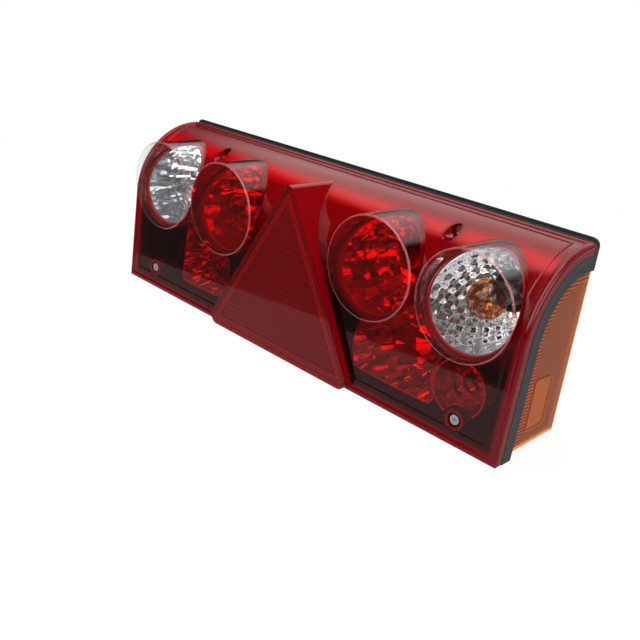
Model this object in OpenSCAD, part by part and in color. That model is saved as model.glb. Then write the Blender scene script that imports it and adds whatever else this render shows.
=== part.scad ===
// Rear combination lamp for a truck or trailer.
// Lens faces -Y, length along X, height along Z. The origin is on the flat back face,
// midway between the two mounting studs.

/* [Body] */
// Overall length
lamp_len = 400; // [380:5:440]
// Height from the lens's lower edge to the housing's top
lamp_h = 140; // [136:1:150]
// How far the lens's lower edge stands in front of the back face
lamp_depth = 72.3; // [70:0.5:80]
// How far the front face leans back over its straight part
face_lean = 3.7; // [2:0.1:6]
// How far the front curve's centre stands in front of the back face
curve_in = 7; // [6:0.2:10]
// Wall of the housing
wall_t = 3; // [2:0.5:4]
// Height of the housing's underside above the lens's lower edge
floor_lift = 6; // [4:0.5:10]
// Step from the housing's top down to the lens
top_step = 2.4; // [1:0.1:4]
// Rounding of the housing's top rear edge
rear_corner_r = 2.4; // [1:0.1:2.8]
// Rounding of the top corners, seen from the front
corner_r = 6; // [4:0.5:6.5]

/* [Lens] */
// Wall of the lens
lens_t = 3; // [2:0.5:4]
// Depth of the lens's skirt
skirt_d = 8.5; // [7:0.5:10]
// Radius of the bead around the lens's border
bead_r = 2.8; // [2:0.2:3]
// Step from the bead down to the lens's face
bead_step = 1.2; // [0.6:0.2:1.6]
// Radius of the fine inner line on the lens's face
line_r = 1; // [0.6:0.1:1.4]
// Distance of the inner line from the border
line_in = 11; // [9:0.5:13]

/* [Tubes] */
// Outer radius of the four tubes
tube_r = 36.8; // [35:0.2:37.4]
// Wall of the tubes
tube_t = 2.6; // [2:0.2:3.4]
// How far the tubes' discs stand in front of the lens's lower edge
tube_proud = 1.3; // [1:0.1:5]
// Distance of the outer tubes' axes from the lamp's ends
tube_end = 44; // [43:0.5:48]
// Spacing of the two tubes on each side
tube_pitch = 78; // [76:0.5:84]
// Depth of the tubes' axes below the housing's top
tube_drop = 46.7; // [45:0.1:49]
// Rounding of the tubes' front edges
tube_edge_r = 1.4; // [0.6:0.2:2]

/* [Triangle reflector] */
// Width of the triangle, corner to corner before rounding
tri_w = 161; // [150:1:166]
// Depth of its top corner below the housing's top, before rounding
tri_drop = 5; // [2:0.5:12]
// Radius of its lower corners
tri_corner_r = 7; // [4:0.5:8]
// Radius of its top corner
tri_apex_r = 3.6; // [2:0.2:5]
// Wall of the reflector
tri_t = 2.6; // [2:0.2:3.4]
// How far its face stands in front of the lens's lower edge
tri_proud = 4.2; // [3:0.1:8]
// Spacing of the prism rows on its inner side
tri_row = 4; // [3:0.5:6]

/* [Seal and flange] */
// Depth of the gasket
gasket_d = 4; // [3:0.5:5]
// Depth of the housing's flange
flange_d = 6; // [5:0.5:7]
// Thickness of the gasket behind the lens's top edge
top_gasket_t = 1.2; // [0.8:0.1:2]
// Width of the flange and of the gasket
flange_w = 5; // [4:0.5:6]

/* [Side marker] */
// Depth of the amber cap
marker_d = 7; // [6:0.5:7.5]
// Wall of the amber cap
marker_t = 2.2; // [1.6:0.2:3]
// How far the cap's rear edge stands in front of the back face
marker_rear = 3; // [2:0.5:5]
// Pitch of the ribs on the cap's front strip
rib_pitch = 2.4; // [2:0.2:3.6]
// Length of each rib
rib_len = 4.5; // [3:0.5:6]
// Radius of the marker bulb's glass
marker_bulb_r = 4; // [3:0.5:4.5]
// Height of the raised frame's lower bar above the lens's lower edge
frame_low = 16.4; // [12:0.2:20]
// Height of the raised frame at its rear
frame_h = 35.7; // [28:0.1:44]
// Distance of the raised frame from the front of the lens
frame_in = 29.7; // [27:0.1:36]
// Distance of the raised frame from the back face
frame_rear = 20.6; // [12:0.2:26]

/* [Reflector cups] */
// Radius of a cup's mouth
cup_r = 32; // [30:0.5:32.5]
// Radius of the hole for the bulb
cup_hole_r = 14.4; // [14:0.2:17]
// Distance of a cup's back from the back face
cup_back = 16; // [14:0.5:20]
// Facets around a cup
cup_sectors = 28; // [20:2:32]
// Rows of facets in a cup
cup_rows = 6; // [4:1:7]
// Height of the facets' crowns
facet_crown = 1; // [0.4:0.1:1.4]

/* [Tail reflectors] */
// Distance of the fans' centres from the lamp's ends
fan_end = 86; // [82:1:90]
// Height of the fans' centres above the lens's lower edge
fan_rise = 36; // [34:0.5:38]
// Largest reach of a fan
fan_reach = 44; // [38:1:50]
// Radius of the hole for a small bulb
fan_hole_r = 11; // [10.8:0.1:12]
// Facets around a fan
fan_sectors = 24; // [16:2:30]
// Rows of facets in a fan
fan_rows = 4; // [3:1:6]
// Distance of the ring dish's centre from the lamp's end
ring_end = 40; // [36:1:42]
// Radius of the ring dish
ring_r = 19; // [16:0.5:20]
// Rows of rings in it
ring_rows = 6; // [4:1:7]
// Distance of the reflector panel from the back face
panel_back = 19; // [18.5:0.5:20]
// Wall of the reflectors
shell_t = 1.3; // [1:0.1:1.6]

/* [Bulbs] */
// Radius of a main bulb's glass
bulb_r = 13.2; // [12:0.2:13.6]
// Distance of its centre behind the lens's lower edge
bulb_in = 27.3; // [24:0.1:30]
// Radius of a main bulb's cap
cap_r = 7.5; // [7:0.1:8]
// Radius of a small bulb's glass
small_bulb_r = 8; // [6:0.5:9]
// Distance of its centre behind the lens's lower edge
small_bulb_in = 38.3; // [34:0.1:42]
// Radius of the bulb holders
holder_r = 10; // [9:0.1:10.4]

/* [Fasteners and fittings] */
// Distance between the two studs
stud_pitch = 152; // [140:1:160]
// Radius of the studs
stud_r = 4; // [3:0.5:5]
// How far the studs stand out behind the back face
stud_out = 24; // [16:1:35]
// Distance of the upper screws from the lamp's ends
screw_end_top = 82; // [81:0.5:83]
// Distance of the lower screws from the lamp's ends
screw_end_low = 36; // [32:1:38]
// Depth of the upper screws below the housing's top
screw_drop_top = 14; // [14:0.5:16]
// Height of the lower screws above the lens's lower edge
screw_rise_low = 17.5; // [16:0.5:20]
// Depth of the upper screws' pockets
pocket_d_top = 15; // [12:0.5:17]
// Depth of the lower screws' pockets
pocket_d_low = 5.4; // [4.6:0.2:8]
// Radius of a screw's head
screw_head_r = 3.4; // [2.8:0.2:3.6]
// Radius of a screw's shank
screw_r = 1.9; // [1.5:0.1:2.1]
// Radius of a screw's pocket
pocket_r = 5; // [4.6:0.1:5.2]
// Distance of the connector from the middle
conn_x = 30; // [20:1:45]
// Height of the connector and the vent above the lens's lower edge
conn_rise = 34; // [32:0.5:38]
// Outer radius of the connector's collar
conn_r = 15; // [14.5:0.5:17]
// How far the collar stands out behind the back face
conn_out = 18; // [16:1:24]
// Width of the contact strips
strip_w = 4; // [3:0.5:5]
// Thickness of the contact strips
strip_t = 0.8; // [0.5:0.1:1]
// Distance of the vent from the middle
vent_x = 40; // [30:1:55]
// Depth of the recesses that the connector and the vent are set in
recess_d = 1; // [0.6:0.1:1.4]

/* [Hidden] */
$fn = 96;

half_l = lamp_len / 2;
z_low = -lamp_h / 2;
z_top = lamp_h / 2;
line_sunk = line_r * 0.4;
// How far the bead stands out of the skirt
bead_out = 0.3;
// Play between pieces that are welded or laid against each other
weld_gap = 0.05;
// Running gap between pieces that only pass each other
pass_gap = 0.8;
// Play around a piece in its hole
fit_gap = 0.2;
eps = 0.5;

// The wrap-over curve's radius, and its centre in Y and Z
front_r = lamp_depth - face_lean - curve_in;
curve_y = -curve_in;
curve_z = z_top - top_step - front_r;
lens_end_y = -wall_t - top_gasket_t;
gasket_rear_d = skirt_d + gasket_d;
band_d = gasket_rear_d + flange_d;
inner_d = bead_step + lens_t;
floor_z = z_low + floor_lift;
body_x0 = -half_l + 3;
tube_front = lamp_depth + tube_proud;
tri_front = lamp_depth + tri_proud;
tri_h = lamp_h - tri_drop;
bulb_y = lamp_depth - bulb_in;
small_bulb_y = lamp_depth - small_bulb_in;
end_x = half_l - marker_d;
well_z = floor_z + wall_t;

// Where the lens's front surface lies at a height
function face_y(z) = z < curve_z
    ? -lamp_depth + face_lean * (z - z_low) / (curve_z - z_low)
    : curve_y - sqrt(max(pow(front_r, 2) - pow(z - curve_z, 2), 0));

// The cups' and fans' centres, as X and Z
tube_x = half_l - tube_end;
tube_z = z_top - tube_drop;
panel_z = tube_z - 15;
panel_hole_r = (cup_hole_r + cup_r) / 2 + 4;
cup_places = [for (x = [-tube_x, tube_pitch - tube_x, tube_x - tube_pitch, tube_x]) [x, tube_z]];
fan_x = half_l - fan_end;
fan_z = z_low + fan_rise;
fan_places = [[-fan_x, fan_z], [fan_x, fan_z]];
ring_place = [half_l - ring_end, fan_z];
ring_hole_r = 3;
seat_depth = cup_back - shell_t;
seat_t = 1.2;
holder_front = 14;
cap_seat = 6;
neck_in = 0.4;
bayonet_r = 0.9;
bayonet_up = 2.5;
strip_lift = 5;

// The screws, as X, Z and the place of the pocket's floor
screw_top = [half_l - screw_end_top, z_top - screw_drop_top];
screw_low = [half_l - screw_end_low, z_low + screw_rise_low];
screws = [for (s = [-1, 1]) each [
    [s * screw_top[0], screw_top[1], face_y(screw_top[1]) + pocket_d_top],
    [s * screw_low[0], screw_low[1], face_y(screw_low[1]) + pocket_d_low]]];
screw_len = 22;
screw_head_h = 2.6;
slot_l = 4;
slot_w = 1;
slot_h = 1.4;
seal_t = 1;
pocket_floor = 3;
pocket_wall = 1.8;
boss_r = 4.6;
boss_gap = 0.3;

well_t = 2;
well_in = 11;
well_x = end_x - well_in;
well_rear = 10;
well_front_gap = 9.8;
well_w = lamp_depth - band_d - well_rear - well_front_gap;
well_h = 40;
marker_y = -well_rear - well_w / 2;
marker_holder_w = 2 * marker_bulb_r + 1.6;
marker_holder_h = 12;
marker_x = well_x + marker_holder_w / 2;
marker_base_z = well_z + marker_holder_h + 3;
marker_glass_h = 16;
frame_out = 0.5;
frame_bar = 1.2;
rib_out = 0.7;

conn_place = [-conn_x, z_low + conn_rise];
conn_bore_r = conn_r - 3.5;
conn_flange_r = conn_r + 2;
conn_flange_y = 1.5;
pin_r = 1.2;
pin_ring = 6.5;
pin_out = 11;
pin_in = 6;
vent_place = [vent_x, z_low + conn_rise];
vent_r = 2.5;
vent_flange_r = 5;
vent_h = 3;
recess_gap = 1.5;
stud_head_r = 7.5;
stud_neck_w = 2 * stud_r + 0.4;
stud_head_h = 5;
stud_tip = 1;

// Profiles in Y and Z

// All that lies behind the lens's front surface moved back by d, from z0 up, as far as y1
module behind(d, z0, y1) {
    r = front_r - d;
    intersection() {
        translate([curve_y, curve_z]) circle(r);
        translate([curve_y - r - 1, curve_z]) square([r + 1 + min(y1 - curve_y, 0), r + 1]);
    }
    polygon([[face_y(z0) + d, z0], [curve_y - r, curve_z], [y1, curve_z], [y1, z0]]);
    if (y1 > curve_y)
        translate([curve_y, curve_z]) square([y1 - curve_y, r]);
}

// A band of the front's form, from d0 to d1 behind the surface
module band(d0, d1, z0, y1) {
    difference() {
        behind(d0, z0, y1);
        behind(d1, z0 - 1, y1 + eps);
    }
}

// Lays a profile across X from x0 to x1
module along_x(x0, x1) {
    translate([x0, 0, 0]) rotate([90, 0, 90]) linear_extrude(x1 - x0) children();
}

// Turns a form about Z so that its axis points out of the lens, starting at y
module facing(p, y) {
    translate([p[0], y, p[1]]) rotate([90, 0, 0]) children();
}

// A round bar along the lens's front curve, at x and d behind the surface, up to y1
module curve_bar(x, d, z0, y1, r) {
    p0 = [face_y(z0) + d, z0];
    p1 = [curve_y - front_r + d, curve_z];
    path_r = front_r - d;
    a = acos((y1 - curve_y) / path_r);
    joint_r = r + 0.06;
    translate([x, p0[0], p0[1]]) sphere(joint_r);
    translate([x, p1[0], p1[1]]) sphere(joint_r);
    translate([x, p0[0], p0[1]])
        rotate([-atan2(p1[0] - p0[0], p1[1] - p0[1]), 0, 0]) cylinder(r = r, h = norm(p1 - p0));
    translate([x, curve_y, curve_z]) rotate([90, 0, 90]) rotate([0, 0, a])
        rotate_extrude(angle = 180 - a) translate([path_r, 0]) circle(r);
    translate([x, curve_y + path_r * cos(a), curve_z + path_r * sin(a)]) sphere(joint_r);
}

// A frame of round bars on the lens, d behind the surface and in from its borders
module bar_frame(x_in, d, z_in, y1, r) {
    z0 = z_low + z_in;
    path_r = front_r - d;
    z1 = curve_z + sqrt(pow(path_r, 2) - pow(y1 - curve_y, 2));
    x1 = half_l - x_in;
    for (s = [-1, 1]) curve_bar(s * x1, d, z0, y1, r);
    translate([-x1, face_y(z0) + d, z0]) rotate([0, 90, 0]) cylinder(r = r, h = 2 * x1);
    translate([-x1, y1, z1]) rotate([0, 90, 0]) cylinder(r = r, h = 2 * x1);
}

// The solid form of a tube with its closed, rounded front, standing on the plane at y
module tube_form(p, y) {
    h = tube_front + y;
    e = tube_edge_r;
    facing(p, y) rotate_extrude() {
        square([tube_r, h - e]);
        square([tube_r - e, h]);
        translate([tube_r - e, h - e]) circle(e);
    }
}

// A tube, from its disc back to the lens's inner surface
module tube(p) {
    difference() {
        tube_form(p, curve_y);
        facing(p, 0) cylinder(r = tube_r - tube_t, h = tube_front - tube_t);
        along_x(p[0] - tube_r - 1, p[0] + tube_r + 1) behind(inner_d, z_low, 1);
    }
}

// Corner helpers for an outline of straight edges with rounded corners
function unit(v) = v / norm(v);
function corner_half(v, p, n) = acos(unit(p - v) * unit(n - v)) / 2;
function corner_centre(v, p, n, r) =
    v + unit(unit(p - v) + unit(n - v)) * r / sin(corner_half(v, p, n));

module rounded_outline(pts, radii) {
    n = len(pts);
    polygon([for (i = [0:n - 1])
        let (v = pts[i], p = pts[(i + n - 1) % n], q = pts[(i + 1) % n],
            t = radii[i] / tan(corner_half(v, p, q)))
        each [v + unit(p - v) * t, v + unit(q - v) * t]]);
    for (i = [0:n - 1])
        translate(corner_centre(pts[i], pts[(i + n - 1) % n], pts[(i + 1) % n], radii[i]))
            circle(radii[i]);
}

// The triangle's outline, moved in from its edges
tri_slope = atan((tri_w / 2) / tri_h);
function tri_top(inset) = z_low + tri_h - inset / sin(tri_slope);
function tri_half(inset, z) = (tri_top(inset) - z) * tan(tri_slope);
module tri_outline(inset) {
    z0 = z_low + inset;
    w = tri_half(inset, z0);
    low_r = max(tri_corner_r - inset, 0.8);
    top_r = max(tri_apex_r - inset, 0.8);
    rounded_outline([[-w, z0], [w, z0], [0, tri_top(inset)]], [low_r, low_r, top_r]);
}

// Faceted dishes

// How far a dish reaches from its centre c at angle a: no further than reach, the well's floor,
// x_lim, and the circles to keep clear of, each given as X, Z and radius
function to_circle(c, a, q) =
    let (d = [q[0] - c[0], q[1] - c[1]], b = d * [cos(a), sin(a)], k = q[2] * q[2] - d * d + b * b)
    b > 0 && k > 0 ? b - sqrt(k) : 1000;
function rim_reach(c, a, reach, x_lim, keep) = min(concat(
    [reach, sin(a) < 0 ? (well_z + 1 - c[1]) / sin(a) : 1000],
    [cos(a) > 0 ? (x_lim[1] - c[0]) / cos(a) : cos(a) < 0 ? (x_lim[0] - c[0]) / cos(a) : 1000],
    [for (q = keep) to_circle(c, a, q)]));

// A dish whose inner side is covered with crowned facets, in rows from the hole r0 to the rim
module dish(c, r0, reach, x_lim, keep, sectors, rows, crown, ripple) {
    n = sectors;
    back_rows = 3;
    ang = [for (i = [0:n - 1]) 360 * (i + 0.5) / n];
    rim = [for (a = ang) rim_reach(c, a, reach, x_lim, keep)];
    rim_y = [for (i = [0:n - 1]) face_y(c[1] + rim[i] * sin(ang[i])) + inner_d + pass_gap];
    inner = [for (j = [0:rows]) for (i = [0:n - 1])
        dish_point(c, ang[i], r0, rim[i], rim_y[i], 90 * j / rows, 0)];
    crowns = [for (j = [0:rows - 1]) for (i = [0:n - 1])
        let (k = (i + 1) % n, up = (i + j) % 2 == 0 ? 1 : ripple)
        dish_point(c, ang[i] + 180 / n, r0, (rim[i] + rim[k]) / 2, (rim_y[i] + rim_y[k]) / 2,
            90 * (j + 0.5) / rows, -crown * up)];
    outer = [for (j = [0:back_rows]) for (i = [0:n - 1])
        dish_point(c, ang[i], r0, rim[i], rim_y[i], 90 * j / back_rows, shell_t)];
    m0 = len(inner);
    o0 = m0 + len(crowns);
    faces = concat(
        [for (j = [0:rows - 1]) for (i = [0:n - 1])
            let (k = (i + 1) % n, a = j * n + i, b = j * n + k, m = m0 + j * n + i)
            each [[b, a, m], [b + n, b, m], [a + n, b + n, m], [a, a + n, m]]],
        [for (j = [0:back_rows - 1]) for (i = [0:n - 1])
            let (k = (i + 1) % n, a = o0 + j * n + i, b = o0 + j * n + k)
            each [[a, b, b + n], [a, b + n, a + n]]],
        [for (i = [0:n - 1])
            let (k = (i + 1) % n, a = rows * n, b = o0 + back_rows * n)
            each [[a + k, a + i, b + i], [a + k, b + i, b + k]]],
        [for (i = [0:n - 1])
            let (k = (i + 1) % n)
            each [[i, k, o0 + k], [i, o0 + k, o0 + i]]]);
    polyhedron(concat(inner, crowns, outer), faces);
}

// A point of a dish at angle a round it and f up its quarter-ellipse section, t outside it
function dish_point(c, a, r0, r1, y1, f, t) =
    let (r = r0 + (r1 - r0) * sin(f) + t * sin(f),
        y = -cup_back + (y1 + cup_back) * (1 - cos(f)) + t * cos(f))
    [c[0] + r * cos(a), y, c[1] + r * sin(a)];

// Sub-parts

// The ring boss that a reflector and its bulb holder stand in, with a notch for the strip
module seat_ring(p, hole_r, notch_up) {
    facing(p, -wall_t + eps) difference() {
        cylinder(r = hole_r + seat_t, h = seat_depth - wall_t + eps);
        translate([0, 0, -1]) cylinder(r = hole_r - 0.6, h = seat_depth + 2);
        translate([-strip_w / 2 - 0.5, notch_up ? 0 : -hole_r - 2, -1])
            cube([strip_w + 1, hole_r + 2, seat_depth + 2]);
    }
}

module housing_form() {
    along_x(body_x0, end_x) behind(gasket_rear_d, floor_z, 0);
    for (x = [[-half_l, body_x0 + wall_t], [end_x - wall_t, half_l]])
        along_x(x[0], x[1]) band(gasket_rear_d, band_d, z_low, 0);
    along_x(-half_l, half_l) intersection() {
        band(gasket_rear_d, band_d, z_low, 0);
        translate([-lamp_depth, z_low]) square([lamp_depth, well_z - z_low]);
    }
    rail_z = curve_z + front_r - band_d;
    r = rear_corner_r;
    intersection() {
        along_x(-half_l, half_l) {
            translate([-wall_t, rail_z]) square([wall_t, z_top - r - rail_z]);
            translate([-wall_t, rail_z]) square([wall_t - r, z_top - rail_z]);
            intersection() {
                translate([-r, z_top - r]) circle(r);
                translate([-r, z_top - r]) square(r);
            }
        }
        end_form(0);
    }
}

// The well in the end wall that the side marker's bulb stands in, grown by g on its inner sides
module marker_well(g) {
    translate([well_x - g, marker_y - well_w / 2 - g, well_z + 1 - g])
        cube([end_x - well_x + g + (g > 0 ? 0 : 1), well_w + 2 * g, well_h + 2 * g]);
}

// A light shield from the left cup's side down to the floor
module light_shield() {
    top = [(cup_places[0][0] + cup_places[1][0]) / 2 - 10, tube_z - tube_r + 10.5];
    low = [top[0] - (top[1] - well_z) * tan(tri_slope * 0.75), well_z];
    translate([0, -wall_t + eps, 0]) rotate([90, 0, 0])
        linear_extrude(lamp_depth - skirt_d - wall_t)
            polygon([low + [-1, -1], low + [1, -1], top + [1, 0], top + [-1, 0]]);
}

module housing() color([0.07, 0.07, 0.08]) {
    difference() {
        union() {
            difference() {
                housing_form();
                along_x(body_x0 + wall_t, end_x - wall_t)
                    behind(gasket_rear_d - eps, well_z, -wall_t);
            }
            for (p = cup_places) seat_ring(p, cup_hole_r, true);
            for (p = fan_places) seat_ring(p, fan_hole_r, true);
            facing(ring_place, -wall_t + eps)
                cylinder(r = ring_hole_r + 2, h = seat_depth - wall_t + eps);
            for (s = screws) facing([s[0], s[1]], -wall_t + eps)
                cylinder(r = boss_r, h = -s[2] - pocket_floor - wall_t + eps - weld_gap);
            light_shield();
            marker_well(well_t);
        }
        marker_well(0);
        for (s = screws) facing([s[0], s[1]], s[2] + screw_len + 1)
            cylinder(r = screw_r + fit_gap, h = screw_len + 2);
        for (s = [-1, 1]) translate([s * stud_pitch / 2, -wall_t, 0])
            cube([stud_neck_w + fit_gap, 2 * wall_t + eps, stud_neck_w + fit_gap], center = true);
        facing(conn_place, eps) cylinder(r = conn_bore_r + fit_gap, h = wall_t + 2 * eps);
        facing(conn_place, eps) cylinder(r = conn_flange_r + recess_gap, h = recess_d + eps);
        facing(vent_place, eps) cylinder(r = vent_r + fit_gap / 2, h = wall_t + 2 * eps);
        facing(vent_place, eps) cylinder(r = vent_flange_r + recess_gap, h = recess_d + eps);
    }
}

module lens_gasket() color([0.1, 0.11, 0.12]) difference() {
    gasket_form();
    for (s = screws) facing([s[0], s[1]], 0)
        cylinder(r = boss_r + boss_gap, h = lamp_depth);
}

module gasket_form() {
    for (x = [-half_l, half_l - flange_w]) along_x(x, x + flange_w)
        band(skirt_d, gasket_rear_d, z_low, -wall_t);
    along_x(-half_l + 1, half_l - 1) intersection() {
        band(skirt_d, gasket_rear_d, z_low, -wall_t);
        translate([-lamp_depth, z_low]) square([lamp_depth, flange_w]);
    }
    strip_z = curve_z + front_r - gasket_rear_d;
    intersection() {
        along_x(-half_l, half_l) translate([lens_end_y, strip_z])
            square([top_gasket_t, z_top - top_step - strip_z]);
        end_form(top_step);
    }
}

// The lamp's outline seen from the front with rounded top corners, moved in by d
module end_form(d) {
    r = corner_r - d / 2;
    z1 = z_top - d;
    facing([0, 0], 1) linear_extrude(lamp_depth) {
        translate([-half_l, z_low]) square([lamp_len, z1 - r - z_low]);
        translate([-half_l + r, z_low]) square([lamp_len - 2 * r, z1 - z_low]);
        for (x = [-half_l + r, half_l - r]) translate([x, z1 - r]) circle(r);
    }
}

module screw_pockets() {
    for (s = screws) difference() {
        facing([s[0], s[1]], s[2] + pocket_floor)
            cylinder(r = pocket_r + pocket_wall, h = lamp_depth + s[2] + pocket_floor);
        along_x(s[0] - 10, s[0] + 10) difference() {
            translate([-lamp_depth - 5, z_low - 5]) square([lamp_depth + 10, lamp_h + 10]);
            behind(bead_step + 0.2, z_low, 0);
        }
    }
}

module lens_body() color([0.72, 0.03, 0.04]) {
    difference() {
        union() {
            difference() {
                along_x(-half_l + bead_out, half_l - bead_out)
                    band(bead_step, skirt_d, z_low + bead_out, lens_end_y);
                along_x(-half_l + lens_t, half_l - lens_t)
                    behind(inner_d, z_low + lens_t, lens_end_y - lens_t);
            }
            bar_frame(bead_r, bead_r, bead_r, lens_end_y - bead_r - bead_out, bead_r);
            difference() {
                bar_frame(line_in, bead_step + line_sunk, line_in, lens_end_y - line_in, line_r);
                facing([0, 0], 0) linear_extrude(lamp_depth * 2) tri_outline(-0.5);
            }
            screw_pockets();
        }
        for (c = cup_places) facing(c, 0) cylinder(r = tube_r + weld_gap, h = lamp_depth * 2);
        for (s = screws) {
            facing([s[0], s[1]], s[2]) cylinder(r = pocket_r, h = lamp_depth);
            facing([s[0], s[1]], 0) cylinder(r = screw_r + boss_gap, h = lamp_depth);
            facing([s[0], s[1]], 0) cylinder(r = boss_r + boss_gap, h = -s[2] - pocket_floor);
        }
    }
}

module reverse_window() color([0.93, 0.95, 0.97]) tube(cup_places[0]);
module fog_window() color([0.72, 0.03, 0.04]) tube(cup_places[1]);
module stop_window() color([0.72, 0.03, 0.04]) tube(cup_places[2]);
module indicator_window() color([0.93, 0.95, 0.97]) tube(cup_places[3]);

module triangle_reflector() color([0.6, 0.02, 0.04]) {
    plate_y = -tri_front + tri_t;
    difference() {
        union() {
            difference() {
                facing([0, 0], 0) linear_extrude(tri_front) tri_outline(0);
                facing([0, 0], 0) translate([0, 0, -1]) linear_extrude(tri_front - tri_t + 1)
                    tri_outline(tri_t);
            }
            for (z = [z_low + tri_row * 2:tri_row:z_low + tri_h - tri_row * 4]) {
                w = tri_half(tri_t + 2.5, z);
                along_x(-w, w) polygon([[plate_y - eps, z - tri_row * 0.4],
                    [plate_y + 0.8, z], [plate_y - eps, z + tri_row * 0.4]]);
            }
        }
        along_x(-tri_w, tri_w) behind(bead_step - weld_gap, z_low - 5, 1);
        translate([-tri_w, face_y(z_low + bead_r) + bead_r, z_low + bead_r]) rotate([0, 90, 0])
            cylinder(r = bead_r + weld_gap, h = 2 * tri_w);
        for (k = [1, 2]) facing(cup_places[k], 0) cylinder(r = tube_r + weld_gap, h = lamp_depth * 2);
    }
}

module side_marker_lens() color([0.9, 0.42, 0.08]) {
    d = band_d + weld_gap;
    plate_x = half_l - marker_t - frame_out;
    difference() {
        along_x(end_x, half_l - frame_out) behind(d, floor_z, -marker_rear);
        along_x(end_x - 1, plate_x)
            behind(d + marker_t, floor_z + marker_t, -marker_rear - marker_t);
    }
    // Prism ribs along the front edge, straight and then round the curve
    rib_r = front_r - d - marker_t;
    rib_z0 = floor_z + marker_t + 1;
    for (z = [rib_z0:rib_pitch:curve_z])
        translate([plate_x - rib_out, face_y(z) + d + marker_t - eps, z])
            cube([rib_out + eps, rib_len + eps, rib_pitch * 0.5]);
    for (a = [1:rib_pitch / rib_r * 180 / PI:78])
        translate([plate_x - rib_out, curve_y, curve_z]) rotate([-a, 0, 0])
            translate([0, -rib_r - eps, 0]) cube([rib_out + eps, rib_len + eps, rib_pitch * 0.5]);
    // The raised frame low on the outer side
    frame_z = z_low + frame_low;
    front = -lamp_depth + frame_in;
    frame = [[front, frame_z], [-frame_rear, frame_z], [-frame_rear, frame_z + frame_h],
        [front, frame_z + frame_h + frame_bar * 2]];
    along_x(half_l - frame_out - eps, half_l) difference() {
        rounded_outline(frame, [3, 3, 3, 3]);
        rounded_outline([for (k = [0:3])
            frame[k] + frame_bar * [k % 3 == 0 ? 1 : -1, k < 2 ? 1 : -1]], [2, 2, 2, 2]);
    }
}

module cup(k) color([0.8, 0.8, 0.82])
    dish(cup_places[k], cup_hole_r, cup_r, [-half_l, half_l], [], cup_sectors, cup_rows,
        facet_crown, -0.2);

cup_keep = [for (p = cup_places) [p[0], p[1], cup_r + shell_t + 2.5]];
screw_keep = [for (s = screws) [s[0], s[1], pocket_r + pocket_wall + 3.7]];
module fan(k, x_lim, keep) color([0.8, 0.8, 0.82])
    dish(fan_places[k], fan_hole_r, fan_reach, x_lim, concat(cup_keep, screw_keep, keep),
        fan_sectors, fan_rows, facet_crown * 1.4, -0.6);

module reverse_reflector() cup(0);
module fog_reflector() cup(1);
module stop_reflector() cup(2);
module indicator_reflector() cup(3);
module left_tail_reflector() fan(0, [-fan_x - 14, 0], []);
module right_tail_reflector()
    fan(1, [0, well_x], [[ring_place[0], ring_place[1], ring_r + shell_t + 1.7]]);
module right_ring_reflector() color([0.8, 0.8, 0.82])
    dish(ring_place, ring_hole_r, ring_r, [0, well_x - shell_t - weld_gap * 4],
        concat(cup_keep, screw_keep), fan_sectors, ring_rows, facet_crown, 0.9);

// The bright panel between the cups
module reflector_panel() color([0.8, 0.8, 0.82]) difference() {
    along_x(body_x0 + wall_t + weld_gap, end_x - wall_t - weld_gap) intersection() {
        behind(gasket_rear_d + weld_gap, panel_z, 0);
        translate([-panel_back - shell_t, panel_z]) square([shell_t, lamp_h]);
    }
    for (p = cup_places) facing(p, 0) cylinder(r = panel_hole_r, h = lamp_depth);
    for (s = screws) facing([s[0], s[1]], 0) cylinder(r = boss_r + pass_gap, h = lamp_depth);
}

// Glass of a bulb: a ball on a neck that ends in its cap
module bulb_glass(p, r, y) {
    neck_y = cap_front(r, y);
    difference() {
        union() {
            translate([p[0], -y, p[1]]) sphere(r);
            facing(p, -neck_y) cylinder(r = min(r, cap_r) - neck_in, h = y - neck_y);
        }
        facing(p, 0) cylinder(r = r + 1, h = neck_y);
    }
}
function cap_front(r, y) = y - r - 2;

module bulb_cap(p, r, y) color([0.75, 0.7, 0.6]) {
    front = cap_front(r, y);
    facing(p, cap_seat - holder_front) cylinder(r = cap_r, h = front - holder_front + cap_seat);
    facing(p, -holder_front - bayonet_up) rotate([0, 90, 0])
        cylinder(r = bayonet_r, h = 2 * (cap_r + 1), center = true);
}

module holder(p) color([0.78, 0.74, 0.62]) facing(p, -wall_t) difference() {
    cylinder(r = holder_r, h = holder_front - wall_t);
    translate([0, 0, holder_front - cap_seat - wall_t]) cylinder(r = cap_r + 0.1, h = cap_seat + 1);
}

clear_glass = [0.9, 0.92, 0.94];
module reverse_bulb() color(clear_glass) bulb_glass(cup_places[0], bulb_r, bulb_y);
module fog_bulb() color(clear_glass) bulb_glass(cup_places[1], bulb_r, bulb_y);
module stop_bulb() color(clear_glass) bulb_glass(cup_places[2], bulb_r, bulb_y);
module indicator_bulb() color([0.95, 0.5, 0.1]) bulb_glass(cup_places[3], bulb_r, bulb_y);
module left_tail_bulb() color(clear_glass) bulb_glass(fan_places[0], small_bulb_r, small_bulb_y);
module right_tail_bulb() color(clear_glass) bulb_glass(fan_places[1], small_bulb_r, small_bulb_y);
module reverse_cap() bulb_cap(cup_places[0], bulb_r, bulb_y);
module fog_cap() bulb_cap(cup_places[1], bulb_r, bulb_y);
module stop_cap() bulb_cap(cup_places[2], bulb_r, bulb_y);
module indicator_cap() bulb_cap(cup_places[3], bulb_r, bulb_y);
module left_tail_cap() bulb_cap(fan_places[0], small_bulb_r, small_bulb_y);
module right_tail_cap() bulb_cap(fan_places[1], small_bulb_r, small_bulb_y);
module reverse_holder() holder(cup_places[0]);
module fog_holder() holder(cup_places[1]);
module stop_holder() holder(cup_places[2]);
module indicator_holder() holder(cup_places[3]);
module left_tail_holder() holder(fan_places[0]);
module right_tail_holder() holder(fan_places[1]);

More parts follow.
